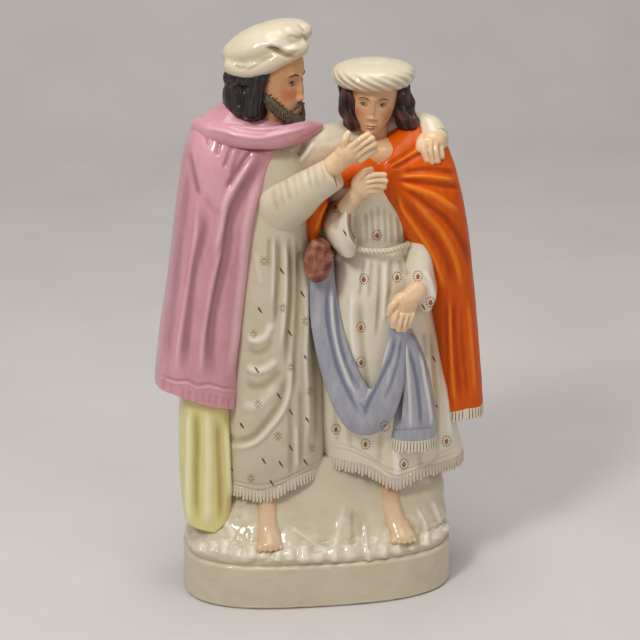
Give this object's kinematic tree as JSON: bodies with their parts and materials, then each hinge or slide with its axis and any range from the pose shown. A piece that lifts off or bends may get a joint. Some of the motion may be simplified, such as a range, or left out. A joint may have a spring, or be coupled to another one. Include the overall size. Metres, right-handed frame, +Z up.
{
  "type": "flatback figure",
  "caption": "Glazed pottery flatback group: two robed, turbaned figures embracing on an oval stand, modelled front, plain back.",
  "frame": {"origin": "centre of the flat underside of the stand", "axes": "+Z up through the group, the modelled front faces -Y, +X to the viewer's right"},
  "size_m": [0.191, 0.0847, 0.3365],
  "materials": {
    "glazed_body": "clear-glazed off-white earthenware",
    "ivory_glaze": "clear-glazed cream earthenware",
    "flesh_enamel": "glazed flesh tint",
    "pink_enamel": "glossy mauve-pink enamel",
    "orange_enamel": "glossy brushed orange enamel",
    "yellow_enamel": "glossy pale lemon-yellow enamel",
    "blue_enamel": "glossy lavender-blue enamel",
    "brown_enamel": "glossy reddish-brown enamel",
    "black_enamel": "glossy near-black enamel",
    "plum_enamel": "glossy dark plum-brown enamel"
  },
  "bodies": {
    "root": {"stand": "glazed_body", "base_slab": "glazed_body", "ground": "glazed_body", "back_shell": "glazed_body", "elder_robe": "glazed_body", "elder_robe_fringe": "glazed_body", "elder_right_sleeve": "glazed_body", "youth_bodice": "glazed_body", "youth_girdle": "glazed_body", "youth_skirt": "glazed_body", "youth_skirt_fringe": "glazed_body", "youth_cloak_fringe": "glazed_body", "youth_right_sleeve": "glazed_body", "youth_left_sleeve": "glazed_body", "sash_fringe": "glazed_body", "elder_right_hand": "flesh_enamel", "elder_left_hand": "flesh_enamel", "elder_left_sleeve": "ivory_glaze", "elder_turban": "ivory_glaze", "youth_turban": "ivory_glaze", "elder_head": "flesh_enamel", "elder_neck": "flesh_enamel", "elder_foot": "flesh_enamel", "youth_head": "flesh_enamel", "youth_neck": "flesh_enamel", "youth_foot": "flesh_enamel", "youth_right_hand": "flesh_enamel", "youth_left_hand": "flesh_enamel", "elder_hair": "black_enamel", "elder_beard": "black_enamel", "youth_hair_left": "plum_enamel", "youth_hair_right": "plum_enamel", "elder_cloak": "pink_enamel", "elder_cloak_collar": "pink_enamel", "elder_drape": "yellow_enamel", "youth_cloak": "orange_enamel", "youth_cloak_end": "orange_enamel", "sash_loop": "blue_enamel", "sash_tail": "blue_enamel", "purse": "brown_enamel"}
  },
  "joints": []
}
